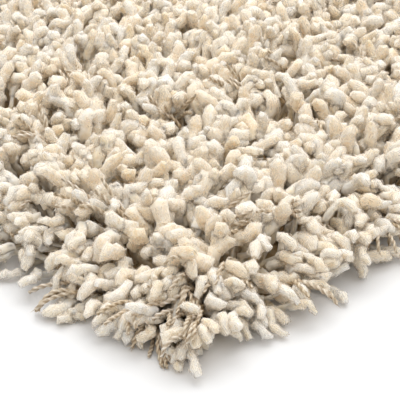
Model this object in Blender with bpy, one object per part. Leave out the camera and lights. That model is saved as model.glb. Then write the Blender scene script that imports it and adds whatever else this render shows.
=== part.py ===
"""Shag rug: a woven ground cloth under a deep pile of felted and twisted yarns.

Metres, +Z up. The rug lies flat on z = 0 with its long side along Y, and the origin is at the
centre of its outline. The pile is one closed solid of the outer form that its yarns fill: a lumpy
top, round shoulders, and a skirt of flopped yarns that hides the cloth's edge all the way round.
"""

import math

import bmesh
import bpy
from mathutils import Vector, noise

# Ground cloth: the woven cloth that the yarns are tufted into, as it is cut.
CLOTH_WIDTH = 0.600
CLOTH_LENGTH = 0.900
CLOTH_THICK = 0.003
CLOTH_CORNER = 0.012
CLOTH_CORNER_STEPS = 5

# Pile: how high it stands, and how far its outer yarns flop past the cloth's edge.
PILE_HEIGHT = 0.045
SKIRT_REACH = 0.030
PILE_CORNER = 0.028
SHARPEST_CORNER = 0.004
GAP = 0.0003
SKIRT_LIFT = 0.0005
SKIRT_FOOT = 0.70

# The pile's side, from the skirt's foot up to where the level field starts.
# reach: distance past the cloth's edge, as a share of SKIRT_REACH.
# height: as a share of PILE_HEIGHT.
SIDE = (
    # reach, height
    (0.97, 0.13),
    (1.00, 0.33),
    (0.86, 0.57),
    (0.52, 0.78),
    (0.00, 0.92),
    (-0.70, 0.98),
    (-1.50, 1.00),
)

# Lumps of the surface: where many tufts lean together, and single tufts.
LUMPS = (
    # length, height
    (0.065, 0.008),
    (0.026, 0.006),
)

# Outline: its slow wander, and the corner tufts that fan out because they have more room.
WANDER_LENGTH = 0.085
WANDER_DEPTH = 0.007
CORNER_FLARE = 0.006
CORNER_FLARE_LENGTH = 0.070

# Mesh: the width of one cell of the field.
CELL = 0.015

# Plain colours, linear: natural cotton cloth, and cream wool.
CLOTH_COLOUR = (0.42, 0.32, 0.20)
PILE_COLOUR = (0.72, 0.60, 0.45)
CLOTH_ROUGHNESS = 0.9
PILE_ROUGHNESS = 0.85


def clear_scene():
    for obj in list(bpy.data.objects):
        bpy.data.objects.remove(obj, do_unlink=True)


def fabric(name, rgb, roughness):
    """A Principled material in one plain colour."""
    material = bpy.data.materials.new(name)
    material.use_nodes = True
    shader = material.node_tree.nodes["Principled BSDF"]
    shader.inputs["Base Color"].default_value = (*rgb, 1.0)
    shader.inputs["Roughness"].default_value = roughness
    shader.inputs["Metallic"].default_value = 0.0
    material.diffuse_color = (*rgb, 1.0)
    return material


def new_object(name, mesh_builder, material, parent):
    """An object from a bmesh, with its faces turned outwards."""
    bmesh.ops.recalc_face_normals(mesh_builder, faces=mesh_builder.faces)
    mesh = bpy.data.meshes.new(name)
    mesh_builder.to_mesh(mesh)
    mesh_builder.free()
    mesh.materials.append(material)
    obj = bpy.data.objects.new(name, mesh)
    bpy.context.scene.collection.objects.link(obj)
    obj.parent = parent
    return obj


def rounded_side(half_run, half_depth, radius, steps):
    """Evenly spaced points of one side of a rounded rectangle, from diagonal to diagonal.

    The side faces +X: it runs up Y at x = half_depth, and takes half of each corner's arc.
    """
    straight = half_run - radius
    arc = radius * math.pi / 4.0
    points = []
    for step in range(steps):
        along = (step / steps * 2.0 - 1.0) * (straight + arc)
        turn = max(abs(along) - straight, 0.0) / max(radius, 1e-6)
        y = min(abs(along), straight) + radius * math.sin(turn)
        x = half_depth - radius * (1.0 - math.cos(turn))
        points.append((x, math.copysign(y, along)))
    return points


def rounded_ring(reach, corner, steps_x, steps_y):
    """Points round the rug at a distance past the cloth's edge, anticlockwise from +X, -Y."""
    half_x = CLOTH_WIDTH / 2.0 + reach
    half_y = CLOTH_LENGTH / 2.0 + reach
    right = rounded_side(half_y, half_x, corner, steps_y)
    top = [(-y, x) for x, y in rounded_side(half_x, half_y, corner, steps_x)]
    left = [(-x, -y) for x, y in right]
    bottom = [(-x, -y) for x, y in top]
    return right + top + left + bottom


def lump(x, y, z):
    """How far the pile's surface stands over or under its mean form at a place."""
    place = Vector((x, y, z))
    return sum(height * noise.noise(place / length) for length, height in LUMPS)


def flare(x, y):
    """How far the outline stands out at a place: a slow wander, and fanned corner tufts."""
    place = Vector((x / WANDER_LENGTH, y / WANDER_LENGTH, 8.1))
    to_corner = math.hypot(abs(x) - CLOTH_WIDTH / 2.0, abs(y) - CLOTH_LENGTH / 2.0)
    fan = CORNER_FLARE * math.exp(-((to_corner / CORNER_FLARE_LENGTH) ** 2))
    return WANDER_DEPTH * noise.noise(place) + fan


def outward(x, y):
    """Unit direction from the rug's middle lines to a place outside the flat field."""
    from_x = math.copysign(max(abs(x) - CLOTH_WIDTH / 2.0 + PILE_CORNER, 0.0), x)
    from_y = math.copysign(max(abs(y) - CLOTH_LENGTH / 2.0 + PILE_CORNER, 0.0), y)
    direction = Vector((from_x, from_y, 0.0))
    return direction.normalized() if direction.length > 0.0 else direction


def surface_point(x, y, height):
    """A point of the pile's surface: lumps push it out on the side, and up on the field."""
    rise = height / PILE_HEIGHT
    out = outward(x, y)
    facing = out * (1.0 - rise) + Vector((0.0, 0.0, rise))
    return Vector((x, y, height)) + out * flare(x, y) + facing * lump(x, y, height)


def bridge(mesh_builder, lower, upper):
    """Quads between two closed rings of the same number of vertices."""
    count = len(lower)
    for here in range(count):
        after = (here + 1) % count
        mesh_builder.faces.new((lower[here], lower[after], upper[after], upper[here]))


def fill_field(mesh_builder, ring, steps_x, steps_y):
    """A grid of cells inside the innermost ring, whose corners are the ring's corners."""
    right = ring[:steps_y]
    top = ring[steps_y:steps_y + steps_x]
    left = ring[steps_y + steps_x:2 * steps_y + steps_x]
    bottom = ring[2 * steps_y + steps_x:]
    rows = [bottom + [right[0]]]
    for row in range(1, steps_y):
        first = left[steps_y - row].co
        last = right[row].co
        cells = [left[steps_y - row]]
        for column in range(1, steps_x):
            share = column / steps_x
            x = first.x + (last.x - first.x) * share
            y = first.y + (last.y - first.y) * share
            cells.append(mesh_builder.verts.new(surface_point(x, y, PILE_HEIGHT)))
        rows.append(cells + [right[row]])
    rows.append([left[0]] + top[:0:-1] + [top[0]])
    for low, high in zip(rows, rows[1:]):
        for column in range(steps_x):
            mesh_builder.faces.new((low[column], low[column + 1], high[column + 1], high[column]))


def build_cloth(parent):
    """The ground cloth: a flat sheet with its corners cut round."""
    builder = bmesh.new()
    half_x = CLOTH_WIDTH / 2.0
    half_y = CLOTH_LENGTH / 2.0
    outline = []
    for quarter, (side_x, side_y) in enumerate(((1, 1), (-1, 1), (-1, -1), (1, -1))):
        for step in range(CLOTH_CORNER_STEPS + 1):
            turn = math.radians(90.0) * (quarter + step / CLOTH_CORNER_STEPS)
            x = side_x * (half_x - CLOTH_CORNER) + CLOTH_CORNER * math.cos(turn)
            y = side_y * (half_y - CLOTH_CORNER) + CLOTH_CORNER * math.sin(turn)
            outline.append((x, y))
    under = [builder.verts.new((x, y, 0.0)) for x, y in outline]
    over = [builder.verts.new((x, y, CLOTH_THICK)) for x, y in outline]
    builder.faces.new(under)
    builder.faces.new(over)
    bridge(builder, under, over)
    material = fabric("ground_cloth", CLOTH_COLOUR, CLOTH_ROUGHNESS)
    return new_object("ground_cloth", builder, material, parent)


def flat_ring(builder, places, height):
    """A ring of vertices at one height."""
    return [builder.verts.new((x, y, height)) for x, y in places]


def build_pile(parent):
    """The pile: one closed solid over the cloth, with a skirt that comes down round its edge."""
    builder = bmesh.new()
    field_inset = SIDE[-1][0] * SKIRT_REACH
    steps_x = round((CLOTH_WIDTH + 2.0 * field_inset) / CELL)
    steps_y = round((CLOTH_LENGTH + 2.0 * field_inset) / CELL)

    # The recess over the cloth has square corners, so the cloth's round ones lie clear inside it.
    recess = rounded_ring(GAP, 0.0, steps_x, steps_y)
    ceiling = flat_ring(builder, recess, CLOTH_THICK + GAP)
    builder.faces.new(ceiling)
    recess_foot = flat_ring(builder, recess, SKIRT_LIFT)
    bridge(builder, ceiling, recess_foot)

    foot_reach = SKIRT_FOOT * SKIRT_REACH
    foot = rounded_ring(foot_reach, PILE_CORNER + foot_reach, steps_x, steps_y)
    below = flat_ring(builder, foot, SKIRT_LIFT)
    bridge(builder, recess_foot, below)
    for reach_share, height_share in SIDE:
        reach = reach_share * SKIRT_REACH
        height = height_share * PILE_HEIGHT
        corner = max(PILE_CORNER + reach, SHARPEST_CORNER)
        places = rounded_ring(reach, corner, steps_x, steps_y)
        above = [builder.verts.new(surface_point(x, y, height)) for x, y in places]
        bridge(builder, below, above)
        below = above
    fill_field(builder, below, steps_x, steps_y)
    return new_object("pile", builder, fabric("pile_yarn", PILE_COLOUR, PILE_ROUGHNESS), parent)


def centre_on_origin(pile, parent):
    """Moves the whole rug so that the pile's outline is centred on the origin."""
    xs = [vertex.co.x for vertex in pile.data.vertices]
    ys = [vertex.co.y for vertex in pile.data.vertices]
    parent.location.x = -(min(xs) + max(xs)) / 2.0
    parent.location.y = -(min(ys) + max(ys)) / 2.0


def main():
    clear_scene()
    rug = bpy.data.objects.new("rug", None)
    bpy.context.scene.collection.objects.link(rug)
    build_cloth(rug)
    pile = build_pile(rug)
    centre_on_origin(pile, rug)


main()
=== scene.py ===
"""The looks of the shag rug: its yarns, its ground cloth, the floor, the light and the camera."""

import math

import bpy
import numpy as np
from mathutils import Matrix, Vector, noise


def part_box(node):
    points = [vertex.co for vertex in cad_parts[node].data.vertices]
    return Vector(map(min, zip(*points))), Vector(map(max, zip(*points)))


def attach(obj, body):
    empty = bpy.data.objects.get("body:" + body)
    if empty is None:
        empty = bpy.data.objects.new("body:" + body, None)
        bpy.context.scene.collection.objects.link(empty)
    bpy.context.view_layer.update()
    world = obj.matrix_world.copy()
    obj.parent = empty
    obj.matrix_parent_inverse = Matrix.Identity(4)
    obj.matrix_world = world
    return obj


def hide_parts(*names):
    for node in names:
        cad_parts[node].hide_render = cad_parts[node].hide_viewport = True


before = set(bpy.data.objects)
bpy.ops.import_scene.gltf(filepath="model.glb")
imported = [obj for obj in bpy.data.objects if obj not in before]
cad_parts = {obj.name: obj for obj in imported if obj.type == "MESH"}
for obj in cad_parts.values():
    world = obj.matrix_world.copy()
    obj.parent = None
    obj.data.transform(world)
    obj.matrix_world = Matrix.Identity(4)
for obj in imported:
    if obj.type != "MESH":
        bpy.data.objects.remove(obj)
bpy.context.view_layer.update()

MM = 0.001

# ---------------------------------------------------------------- sizes

CLOTH_LOW, CLOTH_HIGH = (np.array(corner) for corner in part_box("ground_cloth"))
CLOTH_SIZE = CLOTH_HIGH - CLOTH_LOW
CLOTH_MIDDLE = (CLOTH_HIGH + CLOTH_LOW) / 2.0
PILE_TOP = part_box("pile")[1][2]

# Tufts: rows and columns of holes in the cloth, a little uneven, with extra rows round its edge.
TUFT_PITCH = 10.2 * MM
TUFT_JITTER = 3.6 * MM
TUFT_MARGIN = 4.0 * MM
EDGE_ROWS = tuple(inset * MM for inset in (2.5, 7.0, 12.0, 18.0, 25.0, 33.0, 42.0, 52.0))
EDGE_PITCH = 16.5 * MM
CORNER_TUFTS = 30
CORNER_SIDE = 45.0 * MM

# Some tufts are bundles of twisted yarns: more in some places, at the edge and at the corners.
BUNDLE_SHARE = 0.036
BUNDLE_PATCHES = 30.0 * MM
BUNDLES_AT_CORNER = 2.5
BUNDLE_YARNS = 4
BUNDLE_WIDTH = 1.2 * MM

# Yarns: the felted one is thick and soft, the twisted one thin and wiry.
FELTED = dict(length=50.0 * MM, spread=5.5 * MM, radius=2.65 * MM, uneven=0.15, sway=24.0)
TWISTED = dict(length=53.0 * MM, spread=3.0 * MM, radius=1.3 * MM, uneven=0.06, sway=4.0)

# How yarns stand, in degrees from upright: at the root, and what they have bent to at the tip.
FIELD_TILT = (2.0, 32.0)
FIELD_TIP = (24.0, 100.0)
EDGE_TILT = (14.0, 66.0)
EDGE_CURL = (60.0, 112.0)
BEND_START = 1.4
LATER_BEND_AT_EDGE = 1.2

# Which way they lean: alike in clumps, apart from each tuft's own turn, and outwards at the edge.
CLUMP = 38.0 * MM
CLUMP_TURN = 0.7 * math.pi
TUFT_TURN = 2.8
LEAN_OUT_AT_EDGE = 1.6
BENT_ALIKE = 0.35
EDGE_BAND = 52.0 * MM
CORNER_FAN = 60.0 * MM
CORNER_TRIM = 0.10

# Settling: nodes along a yarn, and rounds of pushing yarns apart.
NODES = 10
ROUNDS = 48
ROUNDS_PER_SEARCH = 6
SEARCH_MARGIN = 1.0 * MM
PUSH = 0.5
SQUASH = 0.86
DROOP = 0.08 * MM
DROOP_PAST_EDGE = 0.20 * MM
EDGE_SUPPORT = 5.0 * MM
TOP_GAP = 1.0 * MM
FELTED_STIFFNESS = 0.25
TWISTED_STIFFNESS = 0.6

SEED = 20


# ---------------------------------------------------------------- small helpers

def linear(hex_colour):
    """A linear colour with alpha from an sRGB hex value."""
    colour = []
    for start in (1, 3, 5):
        channel = int(hex_colour[start:start + 2], 16) / 255.0
        colour.append(channel / 12.92 if channel <= 0.04045 else ((channel + 0.055) / 1.055) ** 2.4)
    return (*colour, 1.0)


def add(tree, kind, inputs=None, stops=(), **settings):
    """Adds a node with its settings and a ramp's stops. Inputs are values, or sockets to link."""
    made = tree.nodes.new(kind)
    for name, value in settings.items():
        setattr(made, name, value)
    for key, given in (inputs or {}).items():
        for value in given if isinstance(given, list) else [given]:
            if isinstance(value, bpy.types.NodeSocket):
                tree.links.new(value, made.inputs[key])
            else:
                made.inputs[key].default_value = value
    for number, (position, colour) in enumerate(stops):
        ends = made.color_ramp.elements
        element = ends[number] if number < len(ends) else ends.new(position)
        element.position = position
        element.color = linear(colour)
    return made


def smooth_step(value, low, high):
    """0 up to low, 1 from high on, and a smooth rise between them."""
    share = np.clip((value - low) / (high - low), 0.0, 1.0)
    return share * share * (3.0 - 2.0 * share)


def field_noise(x, y, length, layer):
    """Smooth noise, about -1 to 1, over the rug's plan."""
    places = (Vector((a / length, b / length, layer)) for a, b in zip(x, y))
    return np.array([2.0 * noise.noise(place) for place in places])


# ---------------------------------------------------------------- how the yarns lie

def plant_tufts(rng):
    """Places of the tufts on the cloth, as an array of x and y."""
    half = CLOTH_SIZE[:2] / 2.0
    span = 2.0 * (half - TUFT_MARGIN)
    count = np.round(span / TUFT_PITCH).astype(int) + 1
    columns = np.linspace(-0.5, 0.5, count[0]) * span[0]
    rows = np.linspace(-0.5, 0.5, count[1]) * span[1]
    grid = np.stack(np.meshgrid(columns, rows), axis=-1)
    grid[1::2, :, 0] += TUFT_PITCH * 0.25
    grid[::2, :, 0] -= TUFT_PITCH * 0.25
    places = [grid.reshape(-1, 2)]
    for inset in EDGE_ROWS:
        for side in (-1.0, 1.0):
            for axis in (0, 1):
                run = half[1 - axis] - inset
                along = np.arange(-run, run, EDGE_PITCH) + rng.uniform(0.0, EDGE_PITCH)
                across = np.full(len(along), side * (half[axis] - inset))
                places.append(np.stack([across, along] if axis == 0 else [along, across], axis=1))
    for corner in ((1, 1), (-1, 1), (-1, -1), (1, -1)):
        places.append(corner * (half - rng.uniform(0.0, CORNER_SIDE, (CORNER_TUFTS, 2))))
    places = np.concatenate(places)
    places += rng.uniform(-0.5, 0.5, places.shape) * TUFT_JITTER
    limit = half - TUFT_MARGIN * 0.5
    return CLOTH_MIDDLE[:2] + np.clip(places, -limit, limit)


def edge_pull(places):
    """How far the cloth's edge lets yarns flop out, which way, and how near a corner they are."""
    from_middle = places - CLOTH_MIDDLE[:2]
    into_band = np.abs(from_middle) - CLOTH_SIZE[:2] / 2.0 + EDGE_BAND
    pull = np.sign(from_middle) * np.maximum(into_band, 0.0) / EDGE_BAND
    amount = np.linalg.norm(pull, axis=1)
    edge = smooth_step(amount, 0.0, 1.0)
    to_corner = np.linalg.norm(CLOTH_SIZE[:2] / 2.0 - np.abs(from_middle), axis=1)
    corner = np.exp(-(to_corner / CORNER_FAN) ** 2)
    return edge, pull * (edge / np.maximum(amount, 1e-6))[:, None], corner


def grow(places, kind, rng, together=1):
    """First shapes of yarns: chains of nodes that start near upright, lean and then bend over.

    Each run of `together` yarns shares a tuft, so they lean alike and fan out only a little.
    """
    count = len(places)

    def tuft(low, high):
        return np.repeat(rng.uniform(low, high, count // together), together)

    edge, pull, corner = edge_pull(places)
    turn = CLUMP_TURN * field_noise(places[:, 0], places[:, 1], CLUMP, 1.5)
    turn += tuft(-TUFT_TURN, TUFT_TURN)
    lean = np.stack([np.cos(turn), np.sin(turn)], axis=1) * (1.0 - 0.8 * edge[:, None])
    lean += LEAN_OUT_AT_EDGE * pull
    azimuth = np.arctan2(lean[:, 1], lean[:, 0]) + tuft(-0.4, 0.4) * edge
    bent_alike = 0.5 + 0.5 * field_noise(places[:, 0], places[:, 1], CLUMP * 0.7, 7.5)
    bent = BENT_ALIKE * bent_alike + (1.0 - BENT_ALIKE) * tuft(0.0, 1.0)
    tip = FIELD_TIP[0] + (FIELD_TIP[1] - FIELD_TIP[0]) * np.clip(bent, 0.0, 1.0)
    flop = edge ** 1.5
    tilt = tuft(*FIELD_TILT) * (1.0 - flop) + tuft(*EDGE_TILT) * flop
    tip = tip * (1.0 - edge) + (tilt + tuft(*EDGE_CURL)) * edge
    if together > 1:
        azimuth = azimuth + rng.normal(0.0, 0.20, count)
        tilt = tilt + rng.normal(0.0, 5.0, count)
        tip = tip + rng.normal(0.0, 7.0, count)
    length = kind["length"] + rng.uniform(-1.0, 1.0, count) * kind["spread"]
    length = length * (1.0 - CORNER_TRIM * corner)

    share = (np.arange(NODES - 1) + 0.5) / (NODES - 1)
    wave = rng.uniform(0.0, 2.0 * math.pi, (2, count, 1))
    beats = rng.uniform(1.0, 2.2, (2, count, 1))
    sway = np.sin(2.0 * math.pi * beats * share + wave) * kind["sway"]
    bend = share ** (BEND_START + LATER_BEND_AT_EDGE * edge[:, None])
    upright = np.radians(tilt[:, None] + (tip - tilt)[:, None] * bend + sway[0])
    curl = rng.normal(0.0, 0.5, (count, 1)) * share
    heading = azimuth[:, None] + curl + np.radians(1.5 * sway[1])
    steps = np.stack([
        np.sin(upright) * np.cos(heading),
        np.sin(upright) * np.sin(heading),
        np.cos(upright),
    ], axis=-1) * (length / (NODES - 1))[:, None, None]
    roots = np.column_stack([places, np.full(count, CLOTH_HIGH[2])])
    return np.concatenate([roots[:, None], roots[:, None] + np.cumsum(steps, axis=1)], axis=1)


# Half of the cells round a cell, so that each pair of cells is met once.
NEIGHBOUR_CELLS = [
    (0, 0, 0), (1, 0, 0), (-1, 1, 0), (0, 1, 0), (1, 1, 0),
    *((x, y, 1) for x in (-1, 0, 1) for y in (-1, 0, 1)),
]


def close_pairs(places, owner, reach):
    """Pairs of nodes on different yarns that are nearer than reach, found on a grid of cells."""
    cell = np.floor(places / reach).astype(np.int64)
    cell -= cell.min(axis=0) - 1
    size = cell.max(axis=0) + 2
    key = (cell[:, 0] * size[1] + cell[:, 1]) * size[2] + cell[:, 2]
    order = np.argsort(key, kind="stable")
    ranked = key[order]
    firsts = []
    seconds = []
    for x, y, z in NEIGHBOUR_CELLS:
        wanted = key + (x * size[1] + y) * size[2] + z
        start = np.searchsorted(ranked, wanted, side="left")
        count = np.searchsorted(ranked, wanted, side="right") - start
        first = np.repeat(np.arange(len(key)), count)
        offset = np.arange(count.sum()) - np.repeat(np.cumsum(count) - count, count)
        second = order[np.repeat(start, count) + offset]
        keep = owner[first] != owner[second]
        if (x, y, z) == (0, 0, 0):
            keep &= first < second
        firsts.append(first[keep])
        seconds.append(second[keep])
    first = np.concatenate(firsts)
    second = np.concatenate(seconds)
    near = np.linalg.norm(places[first] - places[second], axis=1) < reach
    return first[near], second[near]


def push_apart(places, radius, pairs):
    """Moves nodes that overlap away from each other. A thin yarn gives way to a thick one."""
    first, second = pairs
    away = places[first] - places[second]
    distance = np.maximum(np.linalg.norm(away, axis=1), 1e-6)
    overlap = np.maximum((radius[first] + radius[second]) * SQUASH - distance, 0.0)
    away *= (overlap / distance)[:, None]
    share = (radius[second] / (radius[first] + radius[second]))[:, None]
    move = np.zeros_like(places)
    for axis in range(3):
        move[:, axis] += np.bincount(first, (away * share)[:, axis], len(places))
        move[:, axis] -= np.bincount(second, (away * (1.0 - share))[:, axis], len(places))
    return move


def hold_lengths(chains, rest, rest_two, stiffness):
    """Keeps each yarn's length, and as much of its own bend as it is stiff.

    The root stays where it is, and of two other nodes the one nearer the tip gives way more.
    """
    for node in range(chains.shape[1] - 1):
        step = chains[:, node + 1] - chains[:, node]
        now = np.maximum(np.linalg.norm(step, axis=1), 1e-6)
        fix = step * ((now - rest[:, node]) / now)[:, None]
        if node == 0:
            chains[:, 1] -= fix
        else:
            chains[:, node] += 0.35 * fix
            chains[:, node + 1] -= 0.65 * fix
    for node in range(chains.shape[1] - 2):
        step = chains[:, node + 2] - chains[:, node]
        now = np.maximum(np.linalg.norm(step, axis=1), 1e-6)
        fix = step * (stiffness * (now - rest_two[:, node]) / now)[:, None]
        if node > 0:
            chains[:, node] += fix
        chains[:, node + 2] -= fix


def lowest_for(places, radius):
    """How low a node may lie: on the cloth inside its edge, and on the floor outside it."""
    inside = CLOTH_SIZE[:2] / 2.0 - np.abs(places[:, :2] - CLOTH_MIDDLE[:2])
    over_cloth = inside.min(axis=1) > -radius
    return np.where(over_cloth, CLOTH_HIGH[2], 0.0) + radius * 1.05


def settle(chains, radius, stiffness):
    """Lets the yarns find room: they push each other apart, droop, and lie on cloth and floor."""
    yarns, nodes, _ = chains.shape
    roots = chains[:, 0].copy()
    rest = np.linalg.norm(np.diff(chains, axis=1), axis=2)
    rest_two = np.linalg.norm(chains[:, 2:] - chains[:, :-2], axis=2)
    # Near the root a yarn is pulled tight by its stitch, and its cut tip opens out.
    share = np.arange(nodes) / (nodes - 1)
    room = 0.40 + 0.60 * smooth_step(share, 0.0, 0.4) + 0.15 * smooth_step(share, 0.75, 0.95)
    reach_of = (radius[:, None] * room).ravel()
    owner = np.repeat(np.arange(yarns), nodes)
    ceiling = PILE_TOP - TOP_GAP
    for turn in range(ROUNDS):
        flat = chains.reshape(-1, 3)
        if turn % ROUNDS_PER_SEARCH == 0:
            pairs = close_pairs(flat, owner, 2.0 * reach_of.max() + SEARCH_MARGIN)
        flat += PUSH * push_apart(flat, reach_of, pairs)
        past_edge = np.abs(flat[:, :2] - CLOTH_MIDDLE[:2]) > CLOTH_SIZE[:2] / 2.0 - EDGE_SUPPORT
        flat[:, 2] -= np.where(past_edge.any(axis=1), DROOP_PAST_EDGE, DROOP)
        over = flat[:, 2] + reach_of - ceiling
        flat[:, 2] -= 0.5 * np.maximum(over, 0.0)
        hold_lengths(chains, rest, rest_two, stiffness)
        np.maximum(flat[:, 2], lowest_for(flat, reach_of), out=flat[:, 2])
        chains[:, 0] = roots
    return chains


def sample_lines(chains, shares):
    """Points at the given shares of each chain, on a smooth curve through its nodes."""
    last = chains.shape[1] - 1
    padded = np.concatenate([
        2.0 * chains[:, :1] - chains[:, 1:2], chains, 2.0 * chains[:, -1:] - chains[:, -2:-1],
    ], axis=1)
    at = np.asarray(shares) * last
    low = np.minimum(at.astype(int), last - 1)
    t = (at - low)[None, :, None]
    a, b, c, d = (padded[:, low + step] for step in range(4))
    return 0.5 * (2.0 * b + (c - a) * t + (2.0 * a - 5.0 * b + 4.0 * c - d) * t ** 2
                  + (3.0 * b - a - 3.0 * c + d) * t ** 3)


# ---------------------------------------------------------------- yarn bodies

def line_mesh(name, lines, **attributes):
    """A mesh of open lines, one for each yarn, with a value of each attribute at every point."""
    yarns, points, _ = lines.shape
    index = np.arange(yarns * points).reshape(yarns, points)
    edges = np.stack([index[:, :-1], index[:, 1:]], axis=-1).reshape(-1, 2)
    mesh = bpy.data.meshes.new(name)
    mesh.from_pydata(lines.reshape(-1, 3).tolist(), edges.tolist(), [])
    for key, values in attributes.items():
        spread = np.broadcast_to(values, (yarns, points)).ravel().astype(np.float32)
        mesh.attributes.new(key, "FLOAT", "POINT").data.foreach_set("value", spread)
    return mesh


YARN_INPUTS = (
    # name, kind, default
    ("Sides", "NodeSocketInt", 6),
    ("Flatness", "NodeSocketFloat", 0.9),
    ("Lump length", "NodeSocketFloat", 5.0 * MM),
    ("Lump depth", "NodeSocketFloat", 0.5 * MM),
    ("Fibres per square metre", "NodeSocketFloat", 0.0),
    ("Fibre length", "NodeSocketFloat", 4.0 * MM),
    ("Fibre width", "NodeSocketFloat", 0.8 * MM),
    ("Core to", "NodeSocketFloat", 1.0),
    ("Puff from", "NodeSocketFloat", 1.0),
    ("Puff sides", "NodeSocketInt", 6),
    ("Puff rings", "NodeSocketInt", 8),
    ("Puff depth", "NodeSocketFloat", 0.6 * MM),
    ("Kinks", "NodeSocketFloat", 0.0),
    ("Seed", "NodeSocketInt", SEED),
    ("Yarn", "NodeSocketMaterial", None),
)
YARN_VALUES = ("thickness", "puff", "turn", "along", "tone", "hairy", "round")

# Form: how far clots swing in and out against their depth, the kinks, and the round cut end.
CORE_SWING = 2.0
PUFF_SWING = 3.0
DEEPEST_DENT = -1.2 * MM
KINK_LENGTH = 5.0 * MM
ROUND_END_FROM = 0.84
ROUND_END_WIDTH = 0.5
FLOOR_GAP = 0.2 * MM
FAR = 10.0

# The yarns' map: each tone has a strip with a margin at both sides, and a fibre a small patch.
TONES = 24
STRIP_WIDTH = 0.84
STRIP_MARGIN = 0.08
FIBRE_ACROSS = 0.1
FIBRE_ALONG = 0.002


def section_ring(tree, sides, flatness):
    """The ring that gives a line its body. Each point knows how far round it is, there and back."""
    ring = add(tree, "GeometryNodeCurvePrimitiveCircle", {
        "Resolution": sides, "Radius": 1.0}).outputs[0]
    scale = add(tree, "ShaderNodeCombineXYZ", {"X": 1.0, "Y": flatness, "Z": 1.0}).outputs[0]
    ring = add(tree, "GeometryNodeTransform", {"Geometry": ring, "Scale": scale}).outputs[0]
    # From 0 to 1 and back to 0, so that the map has no seam.
    corner = add(tree, "GeometryNodeInputIndex").outputs[0]
    half = add(tree, "ShaderNodeMath", {0: sides, 1: 0.5}, operation="MULTIPLY").outputs[0]
    back_sides = add(tree, "ShaderNodeMath", {0: half}, operation="FLOOR").outputs[0]
    out_sides = add(tree, "ShaderNodeMath", {
        0: sides, 1: back_sides}, operation="SUBTRACT").outputs[0]
    to_go = add(tree, "ShaderNodeMath", {0: sides, 1: corner}, operation="SUBTRACT").outputs[0]
    there = add(tree, "ShaderNodeMath", {0: corner, 1: out_sides}, operation="DIVIDE").outputs[0]
    back = add(tree, "ShaderNodeMath", {0: to_go, 1: back_sides}, operation="DIVIDE").outputs[0]
    share = add(tree, "ShaderNodeMath", {0: there, 1: back}, operation="MINIMUM").outputs[0]
    return add(tree, "GeometryNodeStoreNamedAttribute", {
        "Geometry": ring, "Name": "round", "Value": share}).outputs[0]


def clotted_body(tree, given, curve, ring, width, swing, push):
    """A body on each line, pushed out by `push`, and out or in by uneven clots up to `swing`."""
    body = add(tree, "GeometryNodeCurveToMesh", {
        "Curve": curve, "Profile Curve": ring, "Scale": width, "Fill Caps": True}).outputs[0]
    fineness = add(tree, "ShaderNodeMath", {
        0: 1.0, 1: given["Lump length"]}, operation="DIVIDE").outputs[0]
    clots = add(tree, "ShaderNodeTexNoise", {
        "Scale": fineness, "W": given["Seed"], "Detail": 1.0}, noise_dimensions="4D").outputs[0]
    middle = add(tree, "ShaderNodeMath", {0: clots, 1: 0.5}, operation="SUBTRACT").outputs[0]
    depth = add(tree, "ShaderNodeMath", {
        0: middle, 1: swing, 2: push}, operation="MULTIPLY_ADD").outputs[0]
    depth = add(tree, "ShaderNodeMath", {
        0: depth, 1: DEEPEST_DENT}, operation="MAXIMUM").outputs[0]
    normal = add(tree, "GeometryNodeInputNormal").outputs[0]
    offset = add(tree, "ShaderNodeVectorMath", {
        0: normal, "Scale": depth}, operation="SCALE").outputs[0]
    body = add(tree, "GeometryNodeSetPosition", {"Geometry": body, "Offset": offset}).outputs[0]
    return add(tree, "GeometryNodeSetShadeSmooth", {
        "Geometry": body, "Shade Smooth": True}).outputs[0]


def frayed_fibres(tree, given, bodies, hairy, heading):
    """Loose fibres: thin spikes that stand off a body where its line is hairy."""
    density = add(tree, "ShaderNodeMath", {
        0: hairy, 1: given["Fibres per square metre"]}, operation="MULTIPLY").outputs[0]
    points = add(tree, "GeometryNodeDistributePointsOnFaces", {
        "Mesh": bodies, "Density": density, "Seed": given["Seed"]}).outputs
    stray = add(tree, "FunctionNodeRandomValue", {
        0: (-0.6, -0.6, -0.6), 1: (0.6, 0.6, 0.6)}, data_type="FLOAT_VECTOR").outputs[0]
    way = add(tree, "ShaderNodeVectorMath", {
        0: points["Normal"], 1: heading}, operation="ADD").outputs[0]
    way = add(tree, "ShaderNodeVectorMath", {0: way, 1: stray}, operation="ADD").outputs[0]
    turned = add(tree, "FunctionNodeAlignRotationToVector", {"Vector": way}, axis="Z").outputs[0]
    size = add(tree, "FunctionNodeRandomValue", {2: 0.5, 3: 1.2}, data_type="FLOAT").outputs[1]
    half_width = add(tree, "ShaderNodeMath", {
        0: given["Fibre width"], 1: 0.5}, operation="MULTIPLY").outputs[0]
    fibre = add(tree, "GeometryNodeMeshCone", {
        "Vertices": 3, "Side Segments": 1, "Fill Segments": 1, "Radius Top": 0.0,
        "Radius Bottom": half_width, "Depth": given["Fibre length"]}).outputs[0]
    place = add(tree, "GeometryNodeInputPosition").outputs[0]
    in_mm = add(tree, "ShaderNodeVectorMath", {
        0: place, "Scale": 1.0 / MM}, operation="SCALE").outputs[0]
    fibre = add(tree, "GeometryNodeStoreNamedAttribute", {
        "Geometry": fibre, "Name": "own", "Value": in_mm}, data_type="FLOAT_VECTOR").outputs[0]
    fibres = add(tree, "GeometryNodeInstanceOnPoints", {
        "Points": points["Points"], "Instance": fibre, "Rotation": turned, "Scale": size}).outputs[0]
    return add(tree, "GeometryNodeRealizeInstances", {"Geometry": fibres}).outputs[0]


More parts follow.
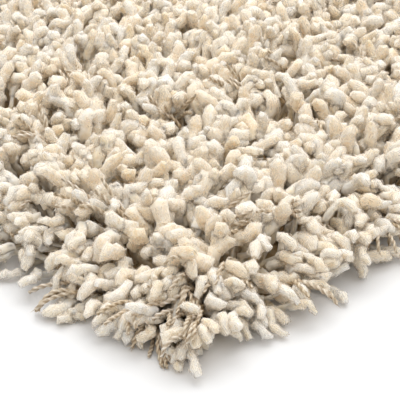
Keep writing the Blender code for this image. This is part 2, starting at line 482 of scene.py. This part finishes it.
def puff_curve(tree, given, lines):
    """The part of a line that shows, with more points and small kinks."""
    shown = add(tree, "GeometryNodeTrimCurve", {
        "Curve": lines, 1: True, 2: given["Puff from"], 3: 1.0}, mode="FACTOR").outputs[0]
    smooth = add(tree, "GeometryNodeCurveSplineType", {
        "Curve": shown}, spline_type="CATMULL_ROM").outputs[0]
    finer = add(tree, "GeometryNodeResampleCurve", {
        "Curve": smooth, "Count": given["Puff rings"]}, mode="COUNT").outputs[0]
    kinks = add(tree, "ShaderNodeTexNoise", {
        "Scale": 1.0 / KINK_LENGTH, "Detail": 0.0}).outputs["Color"]
    kinks = add(tree, "ShaderNodeVectorMath", {
        0: kinks, 1: (0.5, 0.5, 0.5)}, operation="SUBTRACT").outputs[0]
    most = add(tree, "ShaderNodeMath", {0: given["Kinks"], 1: 2.0}, operation="MULTIPLY").outputs[0]
    kinks = add(tree, "ShaderNodeVectorMath", {
        0: kinks, "Scale": most}, operation="SCALE").outputs[0]
    return add(tree, "GeometryNodeSetPosition", {"Geometry": finer, "Offset": kinks}).outputs[0]


def yarn_tree():
    """Geometry nodes that turn lines into yarns: a plain core, and a kinked puff at the open end.

    The lines bring the values of YARN_VALUES, apart from the last, which each ring brings. The
    yarn's own map holds its tone and the place round it across, and the place along it upwards.
    """
    tree = bpy.data.node_groups.new("yarns", "GeometryNodeTree")
    tree.interface.new_socket("Geometry", in_out="INPUT", socket_type="NodeSocketGeometry")
    for name, kind, default in YARN_INPUTS:
        socket = tree.interface.new_socket(name, in_out="INPUT", socket_type=kind)
        if default is not None:
            socket.default_value = default
    tree.interface.new_socket("Geometry", in_out="OUTPUT", socket_type="NodeSocketGeometry")
    given = add(tree, "NodeGroupInput").outputs
    line = {
        name: add(
            tree, "GeometryNodeInputNamedAttribute", {"Name": name}, data_type="FLOAT").outputs[0]
        for name in YARN_VALUES
    }
    heading, own = (
        add(tree, "GeometryNodeInputNamedAttribute", {
            "Name": name}, data_type="FLOAT_VECTOR").outputs[0]
        for name in ("heading", "own")
    )
    lines = add(tree, "GeometryNodeMeshToCurve", {"Mesh": given["Geometry"]}).outputs[0]
    lines = add(tree, "GeometryNodeSetCurveTilt", {"Curve": lines, "Tilt": line["turn"]}).outputs[0]
    tangent = add(tree, "GeometryNodeInputTangent").outputs[0]
    lines = add(tree, "GeometryNodeStoreNamedAttribute", {
        "Geometry": lines, "Name": "heading", "Value": tangent}, data_type="FLOAT_VECTOR").outputs[0]

    # Core: from the root up to the puff, or all of a twisted yarn.
    core = add(tree, "GeometryNodeTrimCurve", {
        "Curve": lines, 1: True, 2: 0.0, 3: given["Core to"]}, mode="FACTOR").outputs[0]
    ring = section_ring(tree, given["Sides"], given["Flatness"])
    swing = add(tree, "ShaderNodeMath", {
        0: given["Lump depth"], 1: CORE_SWING}, operation="MULTIPLY").outputs[0]
    cores = clotted_body(tree, given, core, ring, line["thickness"], swing, 0.0)
    fibres = frayed_fibres(tree, given, cores, line["hairy"], heading)
    cored = add(tree, "FunctionNodeCompare", {
        0: given["Core to"], 1: 0.0}, operation="GREATER_THAN").outputs[0]
    cores = add(tree, "GeometryNodeSwitch", {
        0: cored, "True": cores}, input_type="GEOMETRY").outputs[0]

    # Puff: its cut end is round.
    kinked = puff_curve(tree, given, lines)
    along_puff = add(tree, "GeometryNodeSplineParameter").outputs["Factor"]
    near_end = add(tree, "ShaderNodeMapRange", {
        "Value": along_puff, "From Min": ROUND_END_FROM, "From Max": 1.0,
        "To Min": 1.0, "To Max": ROUND_END_WIDTH}).outputs[0]
    width = add(tree, "ShaderNodeMath", {
        0: line["puff"], 1: near_end}, operation="MULTIPLY").outputs[0]
    ring = section_ring(tree, given["Puff sides"], given["Flatness"])
    swing = add(tree, "ShaderNodeMath", {
        0: given["Lump depth"], 1: PUFF_SWING}, operation="MULTIPLY").outputs[0]
    puffs = clotted_body(tree, given, kinked, ring, width, swing, given["Puff depth"])
    puffy = add(tree, "FunctionNodeCompare", {
        0: given["Puff from"], 1: 1.0}, operation="LESS_THAN").outputs[0]
    puffs = add(tree, "GeometryNodeSwitch", {
        0: puffy, "True": puffs}, input_type="GEOMETRY").outputs[0]

    # What touches the floor is pressed flat on it.
    joined = add(tree, "GeometryNodeJoinGeometry", {0: [cores, fibres, puffs]}).outputs[0]
    place = add(tree, "GeometryNodeInputPosition").outputs[0]
    pressed = add(tree, "ShaderNodeVectorMath", {
        0: place, 1: (-FAR, -FAR, FLOOR_GAP)}, operation="MAXIMUM").outputs[0]
    yarns = add(tree, "GeometryNodeSetPosition", {
        "Geometry": joined, "Position": pressed}).outputs[0]

    # A fibre's patch lies where it is rooted.
    own = add(tree, "ShaderNodeSeparateXYZ", {0: own}).outputs
    across = add(tree, "ShaderNodeMath", {
        0: line["round"], 1: STRIP_WIDTH, 2: STRIP_MARGIN}, operation="MULTIPLY_ADD").outputs[0]
    across = add(tree, "ShaderNodeMath", {
        0: own["X"], 1: FIBRE_ACROSS, 2: across}, operation="MULTIPLY_ADD").outputs[0]
    across = add(tree, "ShaderNodeMath", {0: line["tone"], 1: across}, operation="ADD").outputs[0]
    across = add(tree, "ShaderNodeMath", {0: across, 1: float(TONES)}, operation="DIVIDE").outputs[0]
    upwards = add(tree, "ShaderNodeMath", {
        0: own["Z"], 1: FIBRE_ALONG, 2: line["along"]}, operation="MULTIPLY_ADD").outputs[0]
    place = add(tree, "ShaderNodeCombineXYZ", {"X": across, "Y": upwards}).outputs[0]
    yarns = add(tree, "GeometryNodeStoreNamedAttribute", {
        "Geometry": yarns, "Name": "OFBake", "Value": place,
    }, data_type="FLOAT2", domain="CORNER").outputs[0]
    yarns = add(tree, "GeometryNodeRealizeInstances", {"Geometry": yarns}).outputs[0]
    yarns = add(tree, "GeometryNodeSetMaterial", {
        "Geometry": yarns, "Material": given["Yarn"]}).outputs[0]
    add(tree, "NodeGroupOutput", {0: yarns})
    return tree


def spin(name, lines, tree, values, **attributes):
    """Runs the yarn tree on lines, and returns the bodies as one plain piece."""
    guide = bpy.data.objects.new(name + "_lines", line_mesh(name + "_lines", lines, **attributes))
    bpy.context.scene.collection.objects.link(guide)
    modifier = guide.modifiers.new("yarns", "NODES")
    modifier.node_group = tree
    inputs = (item for item in tree.interface.items_tree if item.in_out == "INPUT")
    identifiers = {item.name: item.identifier for item in inputs}
    for key, value in values.items():
        modifier[identifiers[key]] = value
    graph = bpy.context.evaluated_depsgraph_get()
    mesh = bpy.data.meshes.new_from_object(guide.evaluated_get(graph), depsgraph=graph)
    for extra in (*YARN_VALUES, "heading", "own"):
        if extra in mesh.attributes:
            mesh.attributes.remove(mesh.attributes[extra])
    mesh.name = name
    bpy.data.objects.remove(guide)
    piece = bpy.data.objects.new(name, mesh)
    bpy.context.scene.collection.objects.link(piece)
    return piece


def in_bands(chains, bands):
    """Splits yarns into bands across the rug's length, so that no piece is too heavy."""
    return np.array_split(np.argsort(chains[:, 0, 1], kind="stable"), bands)


# How thick a felted yarn is along its length. The puff's rings are finer than these.
FELTED_RINGS = (
    # along, width, width with its fuzz
    (0.00, 0.75, 0.8),
    (0.35, 1.10, 1.0),
    (0.60, 0.70, 1.0),
    (0.82, 0.95, 1.1),
    (1.00, 0.50, 1.1),
)
PUFF_IN_FIELD = 1.36
PUFF_AT_EDGE = 0.90
SLUB = 0.12
FELTED_BANDS = 6
FELTED_VALUES = {
    "Sides": 3, "Core to": 0.62, "Puff from": 0.54, "Puff sides": 5, "Puff rings": 7,
    "Kinks": 2.4 * MM, "Lump length": 2.9 * MM, "Lump depth": 2.0 * MM, "Puff depth": 0.5 * MM,
}
# The fuzz's rings lie on the yarn's own, so it stands off the yarn everywhere.
FUZZ_VALUES = {
    **FELTED_VALUES, "Core to": 0.0, "Puff from": 0.693, "Puff rings": 5,
    "Lump depth": 2.5 * MM, "Puff depth": 1.2 * MM,
}

# A twisted yarn's section is flat, and turns half round for each bump of the twist.
TWISTED_BANDS = 2
TWISTED_WIDTH = 1.25
TWIST_SHOWS = (0.40, 0.985)
HALF_TWIST = 4.6 * MM
RINGS_PER_HALF_TWIST = 2.0
TWISTED_VALUES = {
    "Sides": 4, "Flatness": 0.56, "Lump length": 3.0 * MM, "Lump depth": 0.1 * MM,
    "Fibres per square metre": 120000.0, "Fibre length": 4.0 * MM, "Fibre width": 0.6 * MM,
}


def felted_yarns(chains, radius, tree, material, fuzz, rng):
    """Thick lumpy yarns of felted fleece, and pieces of loose fuzz round their open ends."""
    shares, body_width, fuzz_width = (np.array(column) for column in zip(*FELTED_RINGS))
    lines = sample_lines(chains, shares)
    yarns = len(lines)
    # The carded wool is thick and thin along the yarn.
    beats = 2.0 * math.pi * rng.uniform(1.5, 4.0, (yarns, 1))
    slub = 1.0 + SLUB * np.sin(beats * shares + rng.uniform(0.0, 6.3, (yarns, 1)))
    thickness = radius[:, None] * body_width * slub
    edge, _, _ = edge_pull(chains[:, 0, :2])
    open_by = PUFF_IN_FIELD + (PUFF_AT_EDGE - PUFF_IN_FIELD) * edge ** 2
    puff = (radius * open_by)[:, None] * fuzz_width * slub * rng.uniform(0.86, 1.14, (yarns, 1))
    tone = rng.integers(0, TONES, yarns)[:, None]
    pieces = []
    for name, values in (
        ("felted_yarns", {**FELTED_VALUES, "Yarn": material}),
        ("loose_fuzz", {**FUZZ_VALUES, "Yarn": fuzz}),
    ):
        for band, chosen in enumerate(in_bands(chains, FELTED_BANDS)):
            pieces.append(spin(
                f"{name}_{band + 1}", lines[chosen], tree, values,
                thickness=thickness[chosen], puff=puff[chosen], turn=0.0, tone=tone[chosen],
                along=shares, hairy=0.0))
    return pieces


def twisted_yarns(chains, radius, tree, material, rng):
    """Thin two-ply yarns, with a few loose fibres at the cut tip."""
    yarns = len(chains)
    length = TWISTED["length"]
    shown = np.arange(*TWIST_SHOWS, HALF_TWIST / RINGS_PER_HALF_TWIST / length)
    shares = np.concatenate([[0.0, 0.15, 0.30], shown, [1.0]])
    lines = sample_lines(chains, shares)
    width = np.interp(shares, [0.0, 0.1, 0.93, 1.0], [0.8, 1.0, 1.0, 0.7])
    turn = shares * length / HALF_TWIST * math.pi + rng.uniform(0.0, 6.3, (yarns, 1))
    tone = rng.integers(0, TONES, yarns)[:, None]
    hairy = smooth_step(shares, 0.94, 0.98)
    thickness = radius[:, None] * TWISTED_WIDTH * width
    return [
        spin(f"twisted_yarns_{band + 1}", lines[chosen], tree, {**TWISTED_VALUES, "Yarn": material},
             thickness=thickness[chosen], turn=turn[chosen], tone=tone[chosen],
             along=shares, hairy=hairy)
        for band, chosen in enumerate(in_bands(chains, TWISTED_BANDS))
    ]


# ---------------------------------------------------------------- materials

# A Mix node of two colours. Its inputs 0, 6 and 7 are the share and the colours, and output 2 is
# the result.
MULTIPLIED = dict(data_type="RGBA", blend_type="MULTIPLY")


def new_material(name):
    """A material, its tree and its shader."""
    material = bpy.data.materials.new(name)
    material.use_nodes = True
    tree = material.node_tree
    return material, tree, tree.nodes["Principled BSDF"]


def yarn_place(tree, girth, length):
    """The place on a yarn's surface in millimetres, from its own map, and the map's two parts."""
    place = add(tree, "ShaderNodeUVMap", uv_map="OFBake").outputs[0]
    parts = add(tree, "ShaderNodeSeparateXYZ", {0: place}).outputs
    spread = (TONES * girth / 2.0 / MM, length / MM, 1.0)
    surface = add(tree, "ShaderNodeVectorMath", {
        0: place, 1: spread}, operation="MULTIPLY").outputs[0]
    return surface, parts[0], parts[1]


def wool_colour(tree):
    """Cream fleece, and the place on the yarn: each yarn has its tone, and painted shade darkens it
    towards its root.
    """
    girth = 2.0 * math.pi * FELTED["radius"]
    surface, tone, along = yarn_place(tree, girth, FELTED["length"])
    tones = add(tree, "ShaderNodeValToRGB", {"Fac": tone}, stops=(
        (0.0, "#F8EEE1"), (0.22, "#F6E8D4"), (0.4, "#F9F1E7"), (0.55, "#F4E4CC"),
        (0.7, "#F7EEE1"), (0.85, "#F9F3EB"), (1.0, "#F5E7D2"))).outputs[0]
    # Painted shade: each yarn is darker towards its root, down in the pile where little light
    # reaches.
    roots = add(tree, "ShaderNodeValToRGB", {"Fac": along}, stops=(
        (0.0, "#F0E2CA"), (0.3, "#FCF7EE"), (0.5, "#FFFFFF"))).outputs[0]
    colour = add(tree, "ShaderNodeMix", {0: 1.0, 6: tones, 7: roots}, **MULTIPLIED).outputs[2]
    # Fleece is carded from locks of slightly different cream, about 5 mm long.
    locks = add(tree, "ShaderNodeTexNoise", {
        "Vector": surface, "Scale": 1.0 / 5.0, "Detail": 2.0}).outputs[0]
    patches = add(tree, "ShaderNodeValToRGB", {"Fac": locks}, stops=(
        (0.35, "#F8EEDA"), (0.55, "#FFFFFF"))).outputs[0]
    colour = add(tree, "ShaderNodeMix", {0: 0.5, 6: colour, 7: patches}, **MULTIPLIED).outputs[2]
    return colour, surface


def soft_and_matt(shader):
    """Light passes through loose fibres and scatters, so wool has no hard shade and no shine."""
    shader.inputs["Roughness"].default_value = 1.0
    shader.inputs["Specular IOR Level"].default_value = 0.1
    shader.inputs["Sheen Weight"].default_value = 0.5
    shader.inputs["Sheen Roughness"].default_value = 0.7
    shader.inputs["Sheen Tint"].default_value = linear("#FFF4E2")
    shader.inputs["Subsurface Weight"].default_value = 0.9
    shader.inputs["Subsurface Radius"].default_value = (1.0, 1.0, 1.0)
    shader.inputs["Subsurface Scale"].default_value = 4.0 * MM


def felted_wool():
    """Felted wool yarn: carded fleece rolled and felted, so it is soft, matt and clotted."""
    material, tree, shader = new_material("felted_wool_yarn")
    colour, surface = wool_colour(tree)
    tree.links.new(colour, shader.inputs["Base Color"])
    # Clots of fibre, about 2 mm across.
    clots = add(tree, "ShaderNodeTexNoise", {
        "Vector": surface, "Scale": 1.0 / 2.2, "Detail": 0.0}).outputs[0]
    # Locks of fibre along the yarn, drawn coarse enough to show: about 1 mm across.
    drawn_out = add(tree, "ShaderNodeMapping", {
        "Vector": surface, "Scale": (1.0, 0.3, 1.0)}).outputs[0]
    locks = add(tree, "ShaderNodeTexNoise", {
        "Vector": drawn_out, "Scale": 1.0, "Detail": 1.0}).outputs[0]
    height = add(tree, "ShaderNodeMath", {
        0: locks, 1: 0.4, 2: clots}, operation="MULTIPLY_ADD").outputs[0]
    bump = add(tree, "ShaderNodeBump", {
        "Height": height, "Strength": 0.3, "Distance": 3.0 * MM}).outputs[0]
    tree.links.new(bump, shader.inputs["Normal"])
    soft_and_matt(shader)
    return material


def loose_fuzz():
    """The loose fibres that stand off felted wool: they cover it in part, and blur its edge."""
    material, tree, shader = new_material("loose_wool_fuzz")
    colour, surface = wool_colour(tree)
    tree.links.new(colour, shader.inputs["Base Color"])
    # Wisps drawn coarse enough to show: about 1 mm across, and longer along the yarn.
    drawn_out = add(tree, "ShaderNodeMapping", {
        "Vector": surface, "Scale": (1.1, 0.45, 1.0)}).outputs[0]
    wisps = add(tree, "ShaderNodeTexNoise", {
        "Vector": drawn_out, "Scale": 1.0, "Detail": 1.5}).outputs[0]
    cover = add(tree, "ShaderNodeMapRange", {
        "Value": wisps, "From Min": 0.45, "From Max": 0.75, "To Min": 0.0, "To Max": 0.8}).outputs[0]
    tree.links.new(cover, shader.inputs["Alpha"])
    soft_and_matt(shader)
    # A skin this thin has no depth for light to scatter in.
    shader.inputs["Subsurface Weight"].default_value = 0.0
    return material


def twisted_yarn():
    """Two-ply yarn of long smooth fibres, twisted hard, so it shines a little along each ply."""
    material, tree, shader = new_material("two_ply_twisted_yarn")
    girth = 2.0 * math.pi * TWISTED["radius"]
    surface, tone, along = yarn_place(tree, girth, TWISTED["length"])
    tones = add(tree, "ShaderNodeValToRGB", {"Fac": tone}, stops=(
        (0.0, "#F4EBDB"), (0.35, "#EBDDC4"), (0.6, "#F6EFE3"), (1.0, "#EEE1CB"))).outputs[0]
    # Painted shade: each yarn is darker and browner towards its root, down in the pile where little
    # light reaches.
    roots = add(tree, "ShaderNodeValToRGB", {"Fac": along}, stops=(
        (0.0, "#CDB48E"), (0.35, "#EADBBF"), (0.68, "#FFFFFF"))).outputs[0]
    colour = add(tree, "ShaderNodeMix", {0: 1.0, 6: tones, 7: roots}, **MULTIPLIED).outputs[2]
    # Strands of fibre in each ply, drawn coarse enough to show: about 0.5 mm across.
    drawn_out = add(tree, "ShaderNodeMapping", {
        "Vector": surface, "Scale": (2.0, 0.4, 1.0)}).outputs[0]
    strands = add(tree, "ShaderNodeTexNoise", {
        "Vector": drawn_out, "Scale": 1.0, "Detail": 2.0}).outputs[0]
    # Painted shade: where the strands lie low, in the hollows between them, the colour is darker.
    strand_hollow_shade = add(tree, "ShaderNodeValToRGB", {"Fac": strands}, stops=(
        (0.38, "#CDB48E"), (0.55, "#FFFFFF"))).outputs[0]
    colour = add(tree, "ShaderNodeMix", {0: 0.6, 6: colour, 7: strand_hollow_shade}, **MULTIPLIED).outputs[2]
    # The two plies meet in a groove, half way round the section's map, where painted shade darkens
    # the colour.
    across = add(tree, "ShaderNodeSeparateXYZ", {0: surface}).outputs["X"]
    half_girth = girth / 2.0 / MM
    share = add(tree, "ShaderNodeMath", {0: across, 1: half_girth}, operation="DIVIDE").outputs[0]
    share = add(tree, "ShaderNodeMath", {0: share}, operation="FRACT").outputs[0]
    ply_groove_shade = add(tree, "ShaderNodeValToRGB", {"Fac": share}, stops=(
        (0.15, "#FFFFFF"), (0.5, "#A48C66"), (0.85, "#FFFFFF"))).outputs[0]
    colour = add(tree, "ShaderNodeMix", {0: 0.8, 6: colour, 7: ply_groove_shade}, **MULTIPLIED).outputs[2]
    tree.links.new(colour, shader.inputs["Base Color"])
    bump = add(tree, "ShaderNodeBump", {
        "Height": strands, "Strength": 0.6, "Distance": 0.3 * MM}).outputs[0]
    tree.links.new(bump, shader.inputs["Normal"])
    shader.inputs["Roughness"].default_value = 0.5
    shader.inputs["Specular IOR Level"].default_value = 0.5
    return material


# Threads to a metre, drawn coarse enough to show: 5 mm apart.
THREADS = 1.0 / (5.0 * MM)


def ground_cloth_material():
    """Plain-woven undyed cotton: beige and matt, with painted shade making every other cell of the
    weave darker, where a thread dips under.
    """
    material, tree, shader = new_material("woven_cotton_cloth")
    place = add(tree, "ShaderNodeTexCoord").outputs["Object"]
    threads = add(tree, "ShaderNodeVectorMath", {
        0: place, 1: (THREADS, THREADS, 0.0)}, operation="MULTIPLY").outputs[0]
    # Painted shade: the second, darker colour is the shade in the dip where a thread goes under the
    # other.
    weave_and_painted_shade = add(tree, "ShaderNodeTexChecker", {
        "Vector": threads, "Scale": 1.0,
        "Color1": linear("#C9B491"), "Color2": linear("#B79F79")}).outputs["Color"]
    # Uneven shades of undyed cotton, about 60 mm across.
    uneven = add(tree, "ShaderNodeTexNoise", {
        "Vector": place, "Scale": 1.0 / (60.0 * MM), "Detail": 3.0}).outputs[0]
    shade = add(tree, "ShaderNodeValToRGB", {"Fac": uneven}, stops=(
        (0.35, "#DCCFB8"), (0.6, "#FFFFFF"))).outputs[0]
    colour = add(tree, "ShaderNodeMix", {0: 0.7, 6: weave_and_painted_shade, 7: shade}, **MULTIPLIED).outputs[2]
    tree.links.new(colour, shader.inputs["Base Color"])
    shader.inputs["Roughness"].default_value = 0.9
    return material


def floor_material():
    """Plain white studio paper, matt."""
    material, tree, shader = new_material("white_floor")
    shader.inputs["Base Color"].default_value = linear("#EEEEEE")
    shader.inputs["Roughness"].default_value = 0.8
    return material


# ---------------------------------------------------------------- ground cloth

CLOTH_CELLS = (24, 36)
CLOTH_CORNER = 12.0 * MM
CLOTH_LIFT = 0.1 * MM
CLOTH_UNDER_YARNS = 0.3 * MM


def ground_cloth():
    """The woven cloth under the pile, as a thin closed sheet with its corners cut round."""
    count_x, count_y = CLOTH_CELLS
    xs = np.linspace(CLOTH_LOW[0], CLOTH_HIGH[0], count_x + 1)
    ys = np.linspace(CLOTH_LOW[1], CLOTH_HIGH[1], count_y + 1)
    half = CLOTH_SIZE[:2] / 2.0
    points = []
    for height in (CLOTH_LOW[2] + CLOTH_LIFT, CLOTH_HIGH[2] - CLOTH_UNDER_YARNS):
        for y in ys:
            for x in xs:
                from_middle = np.array([x, y]) - CLOTH_MIDDLE[:2]
                over = np.maximum(np.abs(from_middle) - (half - CLOTH_CORNER), 0.0)
                far = np.linalg.norm(over)
                if far > CLOTH_CORNER:
                    over *= CLOTH_CORNER / far
                    from_middle = np.sign(from_middle) * (half - CLOTH_CORNER + over)
                points.append((*(CLOTH_MIDDLE[:2] + from_middle), height))
    wide = count_x + 1
    layer = wide * (count_y + 1)
    faces = []
    for row in range(count_y):
        for column in range(count_x):
            a = row * wide + column
            faces.append((a, a + wide, a + wide + 1, a + 1))
            faces.append(tuple(layer + i for i in (a, a + 1, a + wide + 1, a + wide)))
    rim = (
        [column for column in range(count_x)]
        + [row * wide + count_x for row in range(count_y)]
        + [count_y * wide + column for column in range(count_x, 0, -1)]
        + [row * wide for row in range(count_y, 0, -1)]
    )
    for here, after in zip(rim, rim[1:] + rim[:1]):
        faces.append((here, after, after + layer, here + layer))
    mesh = bpy.data.meshes.new("woven_ground_cloth")
    mesh.from_pydata(points, [], faces)
    mesh.materials.append(ground_cloth_material())
    piece = bpy.data.objects.new("woven_ground_cloth", mesh)
    bpy.context.scene.collection.objects.link(piece)
    return piece


# ---------------------------------------------------------------- stage

# Camera: where it aims is counted from the pile's front right corner.
AZIMUTH = math.radians(43.5)
ELEVATION = math.radians(28.5)
CAMERA_DISTANCE = 0.726
LENS = 117.0
CORNER_IN_BOX = Vector((-7.6 * MM, 6.3 * MM, 0.0))
AIM_FROM_CORNER = Vector((-0.073, 0.081, 0.0505))

# Floor and light, in metres and watts.
FLOOR_HALF = 4.0
FLOOR_DROP = 0.2 * MM
LIGHT_FROM_SIDE = 0.20
LIGHT_FROM_ABOVE = 1.34
SOFTBOX_PLACE = (-0.5, 0.7, 1.6)
SOFTBOX_AIM = (0.0, -0.1, 0.0)
SOFTBOX_SIZE = 2.0
SOFTBOX_POWER = 24.0


def place_camera():
    """A long lens, low over the rug's front right corner."""
    low, high = (Vector(corner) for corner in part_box("pile"))
    corner = Vector((high.x, low.y, 0.0)) + CORNER_IN_BOX
    aim = corner + AIM_FROM_CORNER
    back = Vector((
        math.sin(AZIMUTH) * math.cos(ELEVATION),
        -math.cos(AZIMUTH) * math.cos(ELEVATION),
        math.sin(ELEVATION),
    ))
    data = bpy.data.cameras.new("camera")
    data.lens = LENS
    data.sensor_width = 36.0
    data.clip_start = 0.01
    camera = bpy.data.objects.new("camera", data)
    camera.location = aim + back * CAMERA_DISTANCE
    camera.rotation_euler = back.to_track_quat("Z", "Y").to_euler()
    bpy.context.scene.collection.objects.link(camera)
    bpy.context.scene.camera = camera


def lay_floor():
    """A plain pale floor, just under the rug."""
    mesh = bpy.data.meshes.new("floor")
    signs = ((-1, -1), (1, -1), (1, 1), (-1, 1))
    corners = [(x * FLOOR_HALF, y * FLOOR_HALF, 0.0) for x, y in signs]
    mesh.from_pydata(corners, [], [(0, 1, 2, 3)])
    mesh.materials.append(floor_material())
    floor = bpy.data.objects.new("floor", mesh)
    floor.location.z = -FLOOR_DROP
    bpy.context.scene.collection.objects.link(floor)


def light_room():
    """A white room, bright overhead and dim at its sides."""
    world = bpy.data.worlds.new("studio")
    world.use_nodes = True
    tree = world.node_tree
    background = tree.nodes["Background"]
    background.inputs["Color"].default_value = linear("#FFFFFF")
    way = add(tree, "ShaderNodeTexCoord").outputs["Generated"]
    height = add(tree, "ShaderNodeSeparateXYZ", {0: way}).outputs["Z"]
    strength = add(tree, "ShaderNodeMapRange", {
        "Value": height, "From Min": 0.0, "From Max": 1.0,
        "To Min": LIGHT_FROM_SIDE, "To Max": LIGHT_FROM_ABOVE}).outputs[0]
    tree.links.new(strength, background.inputs["Strength"])
    bpy.context.scene.world = world


def hang_softbox():
    """One round softbox above the rug's far end, to the left."""
    data = bpy.data.lights.new("softbox_above", "AREA")
    data.shape = "DISK"
    data.size = SOFTBOX_SIZE
    data.energy = SOFTBOX_POWER
    light = bpy.data.objects.new("softbox_above", data)
    light.location = SOFTBOX_PLACE
    back = Vector(SOFTBOX_PLACE) - Vector(SOFTBOX_AIM)
    light.rotation_euler = back.to_track_quat("Z", "Y").to_euler()
    bpy.context.scene.collection.objects.link(light)


def build_stage():
    """Floor, light and camera."""
    place_camera()
    lay_floor()
    light_room()
    hang_softbox()
    bpy.context.scene.view_settings.view_transform = "Standard"


# ---------------------------------------------------------------- making

def choose_bundles(tufts, rng):
    """Which of the tufts are bundles of twisted yarns."""
    edge, _, corner = edge_pull(tufts)
    patches = 0.5 + 0.9 * field_noise(tufts[:, 0], tufts[:, 1], BUNDLE_PATCHES, 4.5)
    often = patches + edge + BUNDLES_AT_CORNER * corner
    return rng.uniform(0.0, 1.0, len(tufts)) < BUNDLE_SHARE * often


def radii(kind, count, rng):
    """How thick each yarn of a kind is."""
    return kind["radius"] * (1.0 + kind["uneven"] * rng.normal(0.0, 1.0, count))


def main():
    rng = np.random.default_rng(SEED)
    build_stage()
    tufts = plant_tufts(rng)
    bundled = choose_bundles(tufts, rng)
    bundle_places = np.repeat(tufts[bundled], BUNDLE_YARNS, axis=0)
    bundle_places = bundle_places + rng.normal(0.0, BUNDLE_WIDTH, bundle_places.shape)
    thick = grow(tufts[~bundled], FELTED, rng)
    thin = grow(bundle_places, TWISTED, rng, BUNDLE_YARNS)
    thick_radius = radii(FELTED, len(thick), rng)
    thin_radius = radii(TWISTED, len(thin), rng)
    radius = np.concatenate([thick_radius, thin_radius])
    stiffness = np.repeat([FELTED_STIFFNESS, TWISTED_STIFFNESS], [len(thick), len(thin)])
    chains = settle(np.concatenate([thick, thin]), radius, stiffness)
    thick, thin = chains[:len(thick)], chains[len(thick):]

    tree = yarn_tree()
    felted = felted_yarns(thick, thick_radius, tree, felted_wool(), loose_fuzz(), rng)
    twisted = twisted_yarns(thin, thin_radius, tree, twisted_yarn(), rng)
    cloth = ground_cloth()
    for piece in felted + twisted:
        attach(piece, "root")
        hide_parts("pile")
    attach(cloth, "root")
    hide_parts("ground_cloth")


main()
